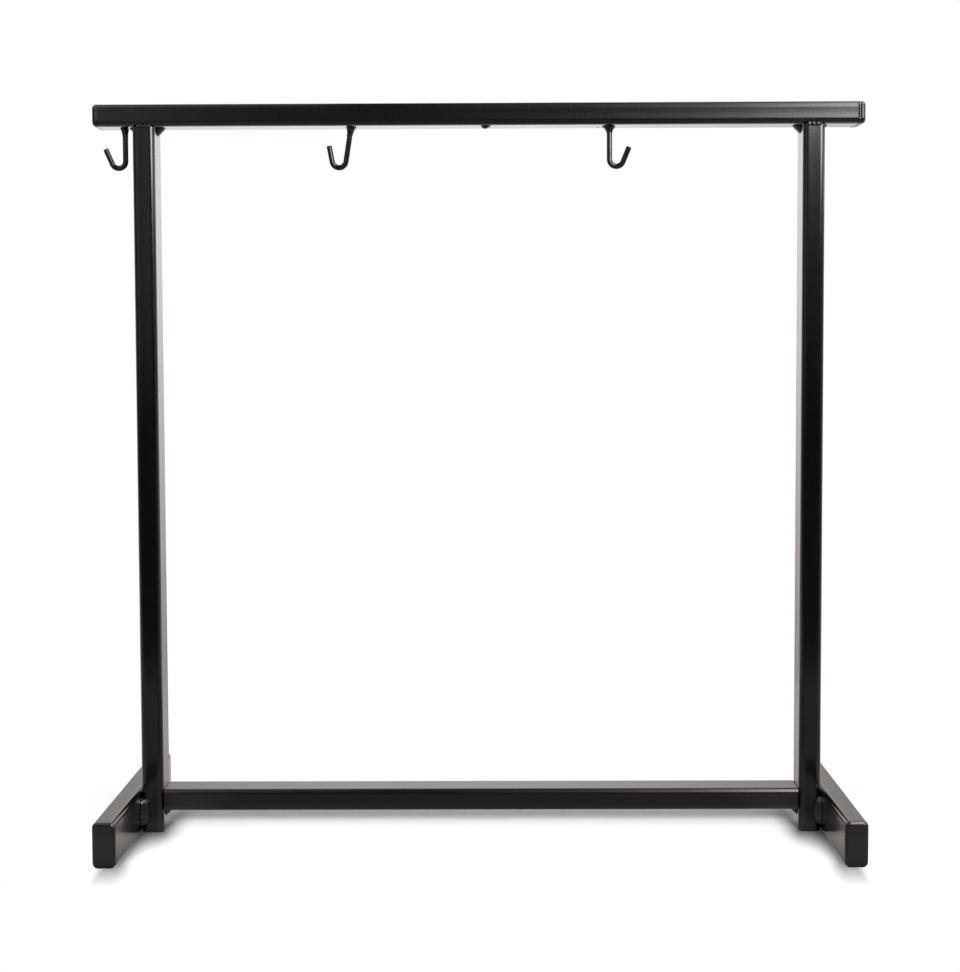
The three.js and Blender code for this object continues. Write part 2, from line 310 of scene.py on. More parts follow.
# Loop with round corners; hollow is how far the middle of each flat lies in.
def roundedLoop(halfU, halfV, radius, steps, hollow=0.0, flatSteps=6):
    corners = ((1, 1), (-1, 1), (-1, -1), (1, -1))
    points = []
    wear = []
    for quarter, (signU, signV) in enumerate(corners):
        for step in range(steps + 1):
            angle = (quarter + step / steps) * math.pi / 2
            u = signU * (halfU - radius) + radius * math.cos(angle)
            v = signV * (halfV - radius) + radius * math.sin(angle)
            points.append((u, v))
            wear.append(edgeWear["corner" if 0 < step < steps else "cornerEnd"])
        if hollow:
            lastU, lastV = points[-1]
            nextU, nextV = corners[(quarter + 1) % 4]
            turn = (quarter + 1) * math.pi / 2
            nextU = nextU * (halfU - radius) + radius * math.cos(turn)
            nextV = nextV * (halfV - radius) + radius * math.sin(turn)
            for step in range(1, flatSteps):
                share = step / flatSteps
                dip = hollow * 4 * share * (1 - share)
                points.append((
                    lastU + (nextU - lastU) * share - dip * math.cos(turn),
                    lastV + (nextV - lastV) * share - dip * math.sin(turn)))
                wear.append(edgeWear["flat"])
    return points, wear


def placed(u, v, along, axis):
    return ((along, u, v), (v, along, u), (u, v, along))[axis]


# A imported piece's box, with the two directions across its length.
def sizesOf(node, axis):
    low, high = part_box(node)
    return low, high, (low + high) / 2, (high - low) / 2, *((1, 2), (2, 0), (0, 1))[axis]


# Tubes: hollow, with the corner rounding of rolled stock and a touch of deburring at the cuts

tube = {
    "corner": 0.0061,
    "cornerSteps": 14,
    "wall": 0.00305,
    "deburr": 0.0004,
    "openDeburr": 0.0009,        # where a cut end shows as a dark line along a joint
    "hollow": 0.00005,           # the flats of rolled stock lie in a little
    "stations": 6,
}


def makeTube(name, node, axis, deburr=tube["deburr"]):
    low, high, middle, half, u, v = sizesOf(node, axis)
    start, end = low[axis], high[axis]
    rings, wear = [], []

    def ring(along, inset):
        points, marks = roundedLoop(
            half[u] - inset, half[v] - inset, tube["corner"] - inset, tube["cornerSteps"], tube["hollow"])
        rings.append([placed(middle[u] + a, middle[v] + b, along, axis) for a, b in points])
        wear.append(marks)

    wall = tube["wall"]
    ring(start, deburr)
    for station in range(tube["stations"] + 1):
        share = station / tube["stations"]
        ring(start + deburr + share * (end - start - 2 * deburr), 0.0)
    ring(end, deburr)
    ring(end, wall)
    ring(start, wall)
    return finishPiece(name, meshOf(rings, closed=True, edge=wear), "frame_tube", node, weighted=True)


makeTube("railTube", "top_rail", 0)
makeTube("crossbarTube", "lower_crossbar", 0, tube["openDeburr"])
for side in ("left", "right"):
    makeTube(f"{side}UprightTube", f"{side}_upright", 2)
    makeTube(f"{side}FootTube", f"{side}_foot", 1)
print("tubes made")


# End caps: plates welded on and ground back, with a rounded outer edge

cap = {
    "edge": 0.0042,
    "edgeSteps": 12,
    "corner": 0.0061,
    "cornerSteps": 14,
}


def makeCap(name, node, axis, sign):
    low, high, middle, half, u, v = sizesOf(node, axis)
    inner, outer = (low[axis], high[axis]) if sign > 0 else (high[axis], low[axis])
    rings, wear = [], []

    def ring(along, inset, mark):
        radius = cap["corner"] - inset
        points, _ = roundedLoop(half[u] - inset, half[v] - inset, radius, cap["cornerSteps"])
        rings.append([placed(middle[u] + a, middle[v] + b, along, axis) for a, b in points])
        wear.append([mark] * len(points))

    ring(inner, 0.0, 0.0)
    for step in range(cap["edgeSteps"] + 1):
        turn = step / cap["edgeSteps"] * math.pi / 2
        along = outer - sign * cap["edge"] * (1 - math.sin(turn))
        ring(along, cap["edge"] * (1 - math.cos(turn)), math.sin(2 * turn))
    return finishPiece(name, meshOf(rings, edge=wear), "cap_plate", node, weighted=True)


for side, sign in (("left", -1), ("right", 1)):
    makeCap(f"{side}RailCap", f"rail_cap_{side}", 0, sign)
    makeCap(f"{side}FootCapFront", f"{side}_foot_cap_front", 1, -1)
    makeCap(f"{side}FootCapBack", f"{side}_foot_cap_back", 1, 1)
print("end caps made")


# Seam welds round the caps

seam = {
    "relief": 0.0004,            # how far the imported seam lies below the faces
    "profile": (                 # along the seam's width, and how far in
        (0, 0.0007), (0, 0.00018), (0.12, 0.00006), (0.5, 0.00003),
        (0.88, 0.00006), (1, 0.00018), (1, 0.0007),
    ),
    "depth": 0.002,
    "waver": 0.0003,
    "waverScale": 90,
    "hollow": 0.00001,
}


# Ground flush: only a fine line is left on either side.
def makeGroundSeam(name, node, axis):
    low, high, middle, half, u, v = sizesOf(node, axis)
    halfU, halfV = half[u] + seam["relief"], half[v] + seam["relief"]
    rings, wear = [], []
    for share, inset in (*seam["profile"], (1, seam["depth"]), (0, seam["depth"])):
        points, marks = roundedLoop(
            halfU - inset, halfV - inset, tube["corner"] - inset, tube["cornerSteps"], seam["hollow"])
        waver = seam["waver"] if inset < seam["depth"] else 0.0
        ring = []
        for a, b in points:
            spot = Vector((a * seam["waverScale"], b * seam["waverScale"], share + low[axis]))
            along = low[axis] + share * 2 * half[axis] + waver * noise.noise(spot)
            ring.append(placed(middle[u] + a, middle[v] + b, along, axis))
        rings.append(ring)
        wear.append(marks)
    return finishPiece(name, meshOf(rings, closed=True, edge=wear), "weld_bead", node)


makeGroundSeam("leftRailSeam", "rail_cap_left_seam", 0)
for side in ("left", "right"):
    for end in ("Front", "Back"):
        makeGroundSeam(f"{side}FootSeam{end}", f"{side}_foot_cap_{end.lower()}_seam", 1)
print("ground seams made")


# Geometry Nodes: what follows a path

# The inputs bear the names that the pieces' dictionaries use.
def newTree(name, *inputs):
    kinds = {"sides": "Int", "detail": "Int", "material": "Material", "geometry": "Geometry"}
    tree = bpy.data.node_groups.new(name, "GeometryNodeTree")
    for label in ("geometry", *inputs, "material"):
        kind = "NodeSocket" + kinds.get(label, "Float")
        tree.interface.new_socket(name=label, in_out="INPUT", socket_type=kind)
    tree.interface.new_socket(name="shape", in_out="OUTPUT", socket_type="NodeSocketGeometry")
    return tree, tree.nodes.new("NodeGroupInput").outputs


def endTree(tree, given, geometry):
    smooth = addNode(tree, "GeometryNodeSetShadeSmooth", {"Geometry": geometry})
    real = addNode(tree, "GeometryNodeRealizeInstances", {"Geometry": smooth.outputs[0]})
    painted = addNode(tree, "GeometryNodeSetMaterial", {
        "Geometry": real.outputs[0], "Material": given["material"]})
    tree.links.new(painted.outputs[0], tree.nodes.new("NodeGroupOutput").inputs[0])
    return tree


def runTree(tree, host, slot, values):
    modifier = host.modifiers.new("shape", "NODES")
    modifier.node_group = tree
    values = {**values, "material": finishes[slot]}
    for item in tree.interface.items_tree:
        if item.in_out == "INPUT" and item.name in values:
            modifier[item.identifier] = values[item.name]
    scene.collection.objects.link(host)
    seen = host.evaluated_get(bpy.context.evaluated_depsgraph_get())
    mesh = bpy.data.meshes.new_from_object(seen)
    host.modifiers.remove(modifier)
    bpy.data.objects.remove(host)
    return mesh


def pathHost(points, cyclic=False):
    mesh = bpy.data.meshes.new("path")
    edges = [(i, i + 1) for i in range(len(points) - 1)]
    if cyclic:
        edges.append((len(points) - 1, 0))
    mesh.from_pydata(points, edges, [])
    return bpy.data.objects.new("path", mesh)


mergeGap = 0.00001


# The host's path as a curve with even steps.
def addPath(tree, size, step):
    line = addNode(tree, "GeometryNodeMeshToCurve", {"Mesh": size["geometry"]})
    return addNode(tree, "GeometryNodeResampleCurve", {
        "Curve": line.outputs[0], "Length": step}, mode="LENGTH").outputs[0]


def addSkin(tree, size, curve, scale):
    ring = addNode(tree, "GeometryNodeCurvePrimitiveCircle", {
        "Resolution": size["sides"], "Radius": size["radius"]})
    return addNode(tree, "GeometryNodeCurveToMesh", {
        "Curve": curve, "Profile Curve": ring.outputs[0], "Scale": scale, "Fill Caps": True}).outputs[0]


def rodTree():
    tree, size = newTree("roundBar", "radius", "step", "sides", "chamfer", "tip", "unevenness", "dentScale")
    path = addPath(tree, size, size["step"])
    where = addNode(tree, "GeometryNodeSplineParameter")
    whole = addNode(tree, "GeometryNodeSplineLength")
    toTip = addMath(tree, "SUBTRACT", whole.outputs["Length"], where.outputs["Length"])
    cut = addMath(tree, "DIVIDE", toTip, size["chamfer"], clamp=True)
    skin = addSkin(tree, size, path, addRange(tree, cut, 0.0, 1.0, size["tip"], 1.0))
    dents = addMath(tree, "SUBTRACT", addNoise(tree, None, size["dentScale"]), 0.5)
    outward = addNode(tree, "GeometryNodeInputNormal")
    offset = addNode(tree, "ShaderNodeVectorMath", {0: outward.outputs[0]}, operation="SCALE")
    tree.links.new(addMath(tree, "MULTIPLY", dents, size["unevenness"]), offset.inputs["Scale"])
    moved = addNode(tree, "GeometryNodeSetPosition", {"Geometry": skin, "Offset": offset.outputs[0]})
    return endTree(tree, size, moved.outputs[0])


# How deep the groove between two ripples is, by the number of ripples passed.
def addGroove(tree, turns, depth):
    scallop = addMath(tree, "ABSOLUTE", addMath(tree, "SINE", addMath(tree, "MULTIPLY", turns, math.pi)))
    return addMath(tree, "MULTIPLY", addMath(tree, "SUBTRACT", 1.0, scallop), depth)


# Share of the full size, by the distance to the nearer end.
def addDome(tree, distance, rounding):
    inner = addMath(tree, "SUBTRACT", 1.0, addMath(tree, "DIVIDE", distance, rounding, clamp=True))
    return addMath(tree, "SUBTRACT", 1.0, addMath(tree, "MULTIPLY", inner, inner), clamp=True)


def rippleTree():
    tree, size = newTree(
        "rippledBead", "radius", "pitch", "ripple", "lumps", "lumpScale", "rounding", "closed", "sides")
    calc = partial(addMath, tree)
    path = addPath(tree, size, calc("DIVIDE", size["pitch"], 8.0))
    along = addNode(tree, "GeometryNodeSplineParameter").outputs["Length"]
    toEnd = calc("SUBTRACT", addNode(tree, "GeometryNodeSplineLength").outputs["Length"], along)
    groove = addGroove(tree, calc("DIVIDE", along, size["pitch"]), size["ripple"])
    wander = calc("SUBTRACT", addNoise(tree, None, size["lumpScale"]), 0.5)
    thick = calc("ADD", calc("SUBTRACT", 1.0, groove), calc("MULTIPLY", wander, size["lumps"]))
    dome = addDome(tree, calc("MINIMUM", along, toEnd), size["rounding"])
    dome = calc("SQRT", calc("MAXIMUM", dome, 0.01))
    width = calc("MULTIPLY", thick, calc("MAXIMUM", dome, size["closed"]))
    return endTree(tree, size, addSkin(tree, size, path, width))


def filletTree():
    tree, size = newTree(
        "filletBead", "length", "leg", "crown", "pitch", "ripple", "rounding", "wander", "seed")
    calc = partial(addMath, tree)
    grid = addNode(tree, "GeometryNodeMeshGrid", {
        "Size X": 1.0, "Size Y": 1.0, "Vertices X": 25, "Vertices Y": 97})
    at = addNode(tree, "ShaderNodeSeparateXYZ", {0: addNode(tree, "GeometryNodeInputPosition").outputs[0]})
    u = calc("ADD", at.outputs["X"], 0.5)

    # the rings lie closer together towards the domed ends
    v = calc("MULTIPLY_ADD", calc("SINE", calc("MULTIPLY", at.outputs["Y"], math.pi)), 0.5, 0.5)
    along = calc("MULTIPLY", v, size["length"])

    # once round the section: along the face, down one leg, out along the other
    s = calc("DIVIDE", u, 2 / 3, clamp=True)
    homeward = calc("MULTIPLY", calc("SUBTRACT", u, 2 / 3), 6.0, clamp=True)
    outbound = calc("MULTIPLY", calc("SUBTRACT", u, 5 / 6), 6.0, clamp=True)
    rest = calc("SUBTRACT", 1.0, s)
    belly = calc("MULTIPLY", calc("MULTIPLY", s, rest), 4.0)
    crown = calc("MULTIPLY_ADD", belly, size["crown"], 1.0)

    # ripples bow towards the end that the weld was drawn to
    turns = calc("SUBTRACT", calc("DIVIDE", along, size["pitch"]), calc("MULTIPLY", belly, 0.45))
    groove = addGroove(tree, turns, size["ripple"])
    spot = addNode(tree, "ShaderNodeCombineXYZ", {0: s, 1: calc("MULTIPLY", v, 7.0), 2: size["seed"]})
    wander = calc("SUBTRACT", addNoise(tree, spot.outputs[0], 1.0, 0.0), 0.5)
    thick = calc("SUBTRACT", calc("MULTIPLY_ADD", wander, size["wander"], 1.0), groove)
    near = calc("MULTIPLY", calc("MINIMUM", v, calc("SUBTRACT", 1.0, v)), size["length"])
    thick = calc("MULTIPLY", thick, calc("SQRT", addDome(tree, near, size["rounding"])))

    x = calc("ADD", calc("MULTIPLY", rest, crown), outbound)
    y = calc("MULTIPLY", calc("MULTIPLY", s, crown), calc("SUBTRACT", 1.0, homeward))
    place = addNode(tree, "ShaderNodeCombineXYZ", {
        0: calc("MULTIPLY", calc("MULTIPLY", x, thick), size["leg"]),
        1: calc("MULTIPLY", calc("MULTIPLY", y, thick), size["leg"]),
        2: calc("MULTIPLY", calc("SUBTRACT", v, 0.5), size["length"])})
    moved = addNode(tree, "GeometryNodeSetPosition", {
        "Geometry": grid.outputs["Mesh"], "Position": place.outputs[0]})
    joined = addNode(tree, "GeometryNodeMergeByDistance", {
        "Geometry": moved.outputs[0], "Distance": mergeGap})
    return endTree(tree, size, joined.outputs[0])


def spatterTree():
    tree, given = newTree("spatterDrops", "detail")
    drop = addNode(tree, "GeometryNodeMeshIcoSphere", {"Radius": 1.0, "Subdivisions": given["detail"]})
    size = addNode(tree, "GeometryNodeInputNamedAttribute", {"Name": "dropSize"}, data_type="FLOAT")
    spread = addNode(tree, "GeometryNodeInstanceOnPoints", {
        "Points": given["geometry"], "Instance": drop.outputs["Mesh"], "Scale": size.outputs["Attribute"]})
    return endTree(tree, given, spread.outputs[0])


roundBar = rodTree()
rippledBead = rippleTree()
filletBead = filletTree()
spatterDrops = spatterTree()
print("node trees made")


# Raised ring of weld round the cap at the right end of the rail

ringBead = {
    "radius": 0.0032,
    "proud": 0.0005,             # in front, behind and below; it is flush on top
    "pitch": 0.0029,
    "ripple": 0.045,
    "lumps": 0.13,
    "lumpScale": 330.0,
    "shift": 0.0017,             # its crown lies this far towards the middle of the rail
    "rounding": 0.001,
    "closed": 1.0,               # it has no ends to round
    "sides": 20,
}


def makeRingBead():
    low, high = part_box("rail_cap_right_seam")
    middle = (low + high) / 2 - Vector((ringBead["shift"], 0, 0))
    relief, radius, proud = seam["relief"], ringBead["radius"], ringBead["proud"]
    halfY = (high.y - low.y) / 2 + relief + proud - radius
    halfZ = (high.z - low.z) / 2 + relief + proud / 2 - radius
    loop, _ = roundedLoop(halfY, halfZ, tube["corner"] - radius, tube["cornerSteps"], seam["hollow"])
    points = [(middle.x, middle.y + a, middle.z - proud / 2 + b) for a, b in loop]
    mesh = runTree(rippledBead, pathHost(points, cyclic=True), "weld_bead", ringBead)
    top = high.z + relief
    for point in mesh.vertices:
        point.co.z = min(point.co.z, top)
    finishPiece("rightRailSeam", turnOutwards(mesh), "weld_bead", "rail_cap_right_seam")


makeRingBead()
print("ring bead made")


# Hooks: one bent rod each

hook = {
    "radius": 0.003175,
    "bend": 0.008,               # centreline radius
    "leg": 0.0186,
    "chamfer": 0.0006,
    "tip": 0.8,                  # width of the cut end, as a share of the rod's
    "unevenness": 0.00003,
    "dentScale": 240.0,
    "step": 0.0005,
    "sides": 24,
    "shankSteps": 12,
    "bendSteps": 24,
    "legSteps": 8,
}
rodRoots = {}


# flare and lean in degrees: how far the leg opens away from the shank, and how far the hook hangs askew
def makeHook(name, node, opens, flare, lean=0.0):
    low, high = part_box(node)
    lean = math.radians(lean)
    radius, bend, sweep = hook["radius"], hook["bend"], math.pi - math.radians(flare)
    rootX = high.x - radius * math.cos(lean) if opens < 0 else low.x + radius * math.cos(lean)
    rootZ = high.z - radius * math.sin(lean)
    reach = rootZ - low.z - radius
    shank = (reach - bend + bend * math.sin(lean)) / math.cos(lean)
    points = [(0, 0, -shank * step / hook["shankSteps"]) for step in range(hook["shankSteps"])]
    for step in range(hook["bendSteps"] + 1):
        turn = sweep * step / hook["bendSteps"]
        points.append((bend * (1 - math.cos(turn)), 0, -shank - bend * math.sin(turn)))
    endX, _, endZ = points[-1]
    for step in range(1, hook["legSteps"] + 1):
        along = hook["leg"] * step / hook["legSteps"]
        points.append((endX + along * math.sin(sweep), 0, endZ - along * math.cos(sweep)))
    turn = Matrix.Rotation(lean, 4, "Y") @ Matrix.Rotation(0 if opens > 0 else math.pi, 4, "Z")
    turn = Matrix.Translation((rootX, (low.y + high.y) / 2, rootZ)) @ turn
    mesh = runTree(roundBar, pathHost([turn @ Vector(point) for point in points]), "hook_rod", hook)
    rodRoots[node] = (turn, lean)
    finishPiece(name, turnOutwards(mesh), "hook_rod", node)


makeHook("malletHook", "mallet_hook", -1, 23.5)
makeHook("gongHookLeft", "gong_hook_left", -1, 19.3, 8.8)
makeHook("gongHookRight", "gong_hook_right", 1, 22.6)
print("hooks bent")


# Root welds: heaped skirts of weld round the shanks

rootWeld = {
    "sides": 40,
    "levels": 16,
    "gap": 0.0003,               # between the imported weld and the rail, filled here
    "grip": 0.00035,             # how far the skirt's rim stands off the rod
    "slump": 1.8,
    "lump": 0.09,
    "lumpScale": (2.2, 2.5),     # round the rod and down it
    "ripple": 0.03,
    "twist": 14,
}


def makeRootWeld(name, node, hookNode, seed):
    low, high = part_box(node)
    turn, lean = rodRoots[hookNode]
    rodX, rodY = turn.translation.x, turn.translation.y
    railZ = high.z + rootWeld["gap"]
    thin = hook["radius"] + rootWeld["grip"]
    aroundScale, downScale = rootWeld["lumpScale"]
    rings = []
    for level in range(rootWeld["levels"] + 1):
        share = level / rootWeld["levels"]
        depth = share * (railZ - low.z)
        swell = (1 - share) ** rootWeld["slump"]
        ring = []
        for side in range(rootWeld["sides"]):
            angle = side / rootWeld["sides"] * 2 * math.pi
            dx, dy = math.cos(angle), math.sin(angle)
            reachX = (high.x - rodX) if dx > 0 else (rodX - low.x)
            reachY = (high.y - low.y) / 2
            rx = thin + (reachX - thin) * swell
            ry = thin + (reachY - thin) * swell
            wave = noise.noise(Vector((aroundScale * dx, aroundScale * dy, share * downScale + seed)))
            ripple = math.cos(3 * angle + rootWeld["twist"] * share + seed) * rootWeld["ripple"]
            lump = rootWeld["lump"] * (wave - 0.5) + ripple * (1 - share)
            lump = 1 + lump * min(1, 4 * (1 - share))
            x = rodX + rx * lump * dx - depth * math.tan(lean)
            ring.append((x, rodY + ry * lump * dy, railZ - depth))
        rings.append(ring)
    finishPiece(name, meshOf(rings), "weld_bead", node)


makeRootWeld("malletHookWeld", "mallet_hook_weld", "mallet_hook", 1.7)
makeRootWeld("gongHookLeftWeld", "gong_hook_left_weld", "gong_hook_left", 4.1)
makeRootWeld("gongHookRightWeld", "gong_hook_right_weld", "gong_hook_right", 7.9)
print("root welds made")


# Fillet welds in the corners

fillet = {
    "pitch": 0.0026,
    "wander": 0.06,
    "innerStitch": {"leg": 0.009, "length": 0.015, "crown": 0.04, "rounding": 0.0074, "ripple": 0.0},
    "outerStitch": {"length": 0.015, "crown": 0.12, "rounding": 0.0015, "ripple": 0.06},
    "outerLeg": {"left": 0.0062, "right": 0.005},
    "barStitch": {"leg": 0.009, "length": 0.015, "crown": 0.05, "rounding": 0.0008, "ripple": 0.06},
    "footBead": {"leg": 0.0095, "length": 0.033, "crown": 0.26},
    "footEnds": {
        "left": {"rounding": 0.0065, "ripple": 0.0},
        "right": {"rounding": 0.0125, "ripple": 0.045},
    },
    "footLift": 0.008,
}


def makeFillet(name, node, bead, corner, legX, legY, seed):
    host = bpy.data.objects.new("bead", bpy.data.meshes.new("bead"))
    mesh = runTree(filletBead, host, "weld_bead", {**fillet, **bead, "seed": seed})
    basis = Matrix((legX, legY, legX.cross(legY))).transposed().to_4x4()
    mesh.transform(Matrix.Translation(corner) @ basis)
    finishPiece(name, turnOutwards(mesh, mergeGap), "weld_bead", node)


down = Vector((0, 0, -1))
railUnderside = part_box("top_rail")[0].z
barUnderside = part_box("lower_crossbar")[0].z
for number, (side, sign) in enumerate((("left", -1), ("right", 1))):
    low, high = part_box(f"{side}_upright")
    innerX, outerX = (high.x, low.x) if sign < 0 else (low.x, high.x)
    inward, outward = Vector((-sign, 0, 0)), Vector((sign, 0, 0))
    stitchLow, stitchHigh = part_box(f"{side}_upright_weld_inner")
    stitchY = (stitchLow.y + stitchHigh.y) / 2
    makeFillet(f"{side}InnerStitch", f"{side}_upright_weld_inner", fillet["innerStitch"],
               Vector((innerX, stitchY, railUnderside)), inward, down, 3.0 + number)
    makeFillet(f"{side}OuterStitch", f"{side}_upright_weld_outer",
               {**fillet["outerStitch"], "leg": fillet["outerLeg"][side]},
               Vector((outerX, stitchY, railUnderside)), outward, down, 6.0 + number)
    makeFillet(f"{side}BarStitch", f"crossbar_weld_{side}", fillet["barStitch"],
               Vector((innerX, 0, barUnderside)), inward, down, 9.0 + number)
    footBead = {**fillet["footBead"], **fillet["footEnds"][side]}
    middleZ = fillet["footLift"] + footBead["length"] / 2
    for end, face, faceY in (("Front", -1, low.y), ("Back", 1, high.y)):
        makeFillet(f"{side}FootBead{end}", f"{side}_foot_weld_{end.lower()}", footBead,
                   Vector((outerX, faceY, middleZ)), inward, Vector((0, face, 0)), 12.0 + 2 * number + face)
print("fillet welds made")


# Seam beads across the flush joint of upright and rail

seamBead = {
    "radius": 0.0031,
    "proud": 0.0012,             # how far it stands out of the faces
    "rounding": 0.003,
    "waver": 0.0003,
    "steps": 12,
    "sides": 24,
    "lumpScale": 330.0,
    "left": {"pitch": 0.0026, "ripple": 0.06, "lumps": 0.12},
    "right": {"pitch": 0.005, "ripple": 0.22, "lumps": 0.5},
}


def makeSeamBead(name, node, face, hand):
    low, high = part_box(node)
    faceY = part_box("top_rail")[face > 0].y
    middleZ = (low.z + high.z) / 2
    points = []
    for step in range(seamBead["steps"] + 1):
        x = low.x + (high.x - low.x) * step / seamBead["steps"]
        z = middleZ + seamBead["waver"] * math.sin(5.3 * step + face)
        points.append((x, faceY + face * (seamBead["proud"] - seamBead["radius"]), z))
    mesh = runTree(rippledBead, pathHost(points), "weld_bead", {**seamBead, **hand})
    finishPiece(name, turnOutwards(mesh), "weld_bead", node)


for side in ("left", "right"):
    for end, face in (("Front", -1), ("Back", 1)):
        makeSeamBead(f"{side}SeamBead{end}", f"{side}_upright_weld_{end.lower()}", face, seamBead[side])
print("seam beads made")


# Nub of weld under the rail

nub = {
    "sides": 32,
    "levels": 12,
    "tip": 0.03,                 # width of its flat tip, as a share of the nub's
    "fullness": 2.3,
    "skew": 0.0009,              # its tip lies this far to the left of its middle
    "lump": 0.1,
    "lumpScale": (1.8, 2.0),     # round it and down it
}


def makeNub():
    low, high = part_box("rail_weld_nub")
    middle = (low + high) / 2
    halfX, halfY = (high.x - low.x) / 2, (high.y - low.y) / 2
    aroundScale, downScale = nub["lumpScale"]
    rings = []
    for level in range(nub["levels"] + 1):
        reach = max(1 - level / nub["levels"], nub["tip"])
        share = 1 - reach ** nub["fullness"]
        ring = []
        for side in range(nub["sides"]):
            angle = side / nub["sides"] * 2 * math.pi
            dx, dy = math.cos(angle), math.sin(angle)
            wave = noise.noise(Vector((aroundScale * dx, aroundScale * dy, downScale * share)))
            width = reach * (1 + nub["lump"] * (wave - 0.5))
            ring.append((
                middle.x + halfX * width * dx - nub["skew"] * share,
                middle.y + halfY * width * dy,
                high.z - (high.z - low.z) * share))
        rings.append(ring)
    finishPiece("railWeldNub", meshOf(rings), "weld_bead", "rail_weld_nub")


makeNub()
print("nub made")


# Spatter from welding, and nibs of powder baked into the coat

railLow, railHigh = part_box("top_rail")
barLow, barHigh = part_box("lower_crossbar")
front = Vector((0, -1, 0))
spatter = {
    "detail": 2,
    "sink": 0.35,                # share of its size that a drop lies in the surface
    "seen": (                    # place, size and the way that it faces
        ((0.1370, 0.0142, railLow.z), 0.00085, down),
        ((0.1389, 0.0120, railLow.z), 0.0005, down),
        ((0.4300, 0.0222, railLow.z), 0.0008, down),
        ((-0.1519, 0.0004, railLow.z), 0.0007, down),
        ((-0.3825, railLow.y, 0.0592), 0.0004, front),
        ((-0.3826, railLow.y, 0.0490), 0.0003, front),
        ((-0.2701, railLow.y, 0.0380), 0.00035, front),
        ((-0.0445, railLow.y, 0.8335), 0.00035, front),
        ((0.3937, -0.1905, 0.0193), 0.0008, Vector((-1, 0, 0))),
    ),
    "nibs": 60,
    "nibSize": (0.00012, 0.00028),
    "seed": 7,
}


def makeSpatter():
    draw = random.Random(spatter["seed"])
    spots = list(spatter["seen"])
    faces = [
        (railLow, railHigh, 1, -1), (railLow, railHigh, 1, 1), (railLow, railHigh, 2, -1),
        (barLow, barHigh, 1, -1), (barLow, barHigh, 1, 1), (barLow, barHigh, 2, 1),
    ]
    for side in ("left", "right"):
        faces += [(*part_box(f"{side}_upright"), axis, sign) for axis in (0, 1) for sign in (-1, 1)]
    margin = tube["corner"]
    for _ in range(spatter["nibs"]):
        low, high, axis, sign = draw.choice(faces)
        place = [draw.uniform(low[i] + margin, high[i] - margin) for i in range(3)]
        place[axis] = (high if sign > 0 else low)[axis] - sign * tube["hollow"]
        outward = Vector((0, 0, 0))
        outward[axis] = sign
        spots.append((place, draw.uniform(*spatter["nibSize"]), outward))
    mesh = bpy.data.meshes.new("drops")
    points = [Vector(place) - outward * size * spatter["sink"] for place, size, outward in spots]
    mesh.from_pydata(points, [], [])
    sizes = mesh.attributes.new("dropSize", "FLOAT", "POINT")
    sizes.data.foreach_set("value", [size for _, size, _ in spots])
    mesh = runTree(spatterDrops, bpy.data.objects.new("drops", mesh), "weld_bead", spatter)
    finishPiece("weldSpatter", turnOutwards(mesh), "weld_bead")


makeSpatter()
print("spatter made")


# Studio

studio = {
    "sweepHalf": 3.2,
    "sweepFront": -1.15,
    "sweepBack": 3.3,
    "sweepCurve": 0.7,
    "sweepTop": 2.3,
    "drop": 0.0003,              # the sweep lies this far below the feet
    "paper": 0.8,
    "whiteSide": (0.44, 0.5),    # past these the camera sees plain white: to either side,
    "whiteFront": (-0.26, -0.34),  # in front of the stand
    "whiteBack": (0.14, 0.25),   # and behind it
    "contact": 0.03,             # how near the paper must be for the coat to mirror its dark corners
    "footShine": (0.3, 0.37, 1.0, 1.6),
    "warm": (1.0, 0.925, 0.88),
    "neutral": (1.0, 0.965, 0.955),
    "wallHalf": 1.6,
    "wallBack": 1.05,
    "wallTop": 1.6,
    "wallWarmth": (0.2, 0.8),    # from warm to neutral between these heights
    "wallRise": (0.38, 0.6),     # from the low spread to the high one
    "roomLight": 0.22,
}

plainWhite = (1.0, 1.0, 1.0, 1.0)

# painted contact shadow round the feet and uprights: its reach, and its depth from the contact outwards
shade = {
    "footInside": ((0.0254, 0.039), (0.165, 0.021), (0.197, 0.028), (0.26, 0.048)),  # by y
    "footOutside": (-0.014, 0.003),  # from the outer side of the foot
    "footEnd": (-0.028, 0.165),  # from the end of the foot
    "upright": (0.028, 0.12),
    "fall": ((0.0, 0.2), (0.22, 0.43), (0.45, 0.67), (0.66, 0.85), (0.84, 0.955), (1.0, 1.0)),
}

# what a glossy surface sees of the paper: the floor by y, and the wall by z and, low down and high up, by x
floorGlow = (
    (-1.15, 0.2), (-0.8, 0.14), (-0.6, 0.1), (-0.45, 0.14), (-0.33, 0.24), (-0.2, 0.17), (0.1, 0.3),
    (0.6, 0.5), (1.1, 0.48),
)
wallGlow = ((0.0, 0.43), (0.15, 0.52), (0.26, 0.61), (0.4, 0.74), (0.64, 0.94), (0.8, 1.03), (1.6, 1.05))
wallSpreadLow = (
    (-1.6, 0.5), (-0.9, 0.55), (-0.63, 0.62), (-0.47, 0.85), (-0.29, 0.98), (0.0, 1.0), (0.22, 0.95),
    (0.45, 0.8), (0.63, 0.6), (0.9, 0.55), (1.6, 0.5),
)
wallSpreadHigh = (
    (-1.6, 0.7), (-0.9, 0.85), (-0.63, 0.92), (-0.47, 0.95), (-0.29, 1.02), (0.0, 1.0), (0.22, 0.96),
    (0.45, 0.79), (0.63, 0.72), (0.9, 0.7), (1.6, 0.7),
)
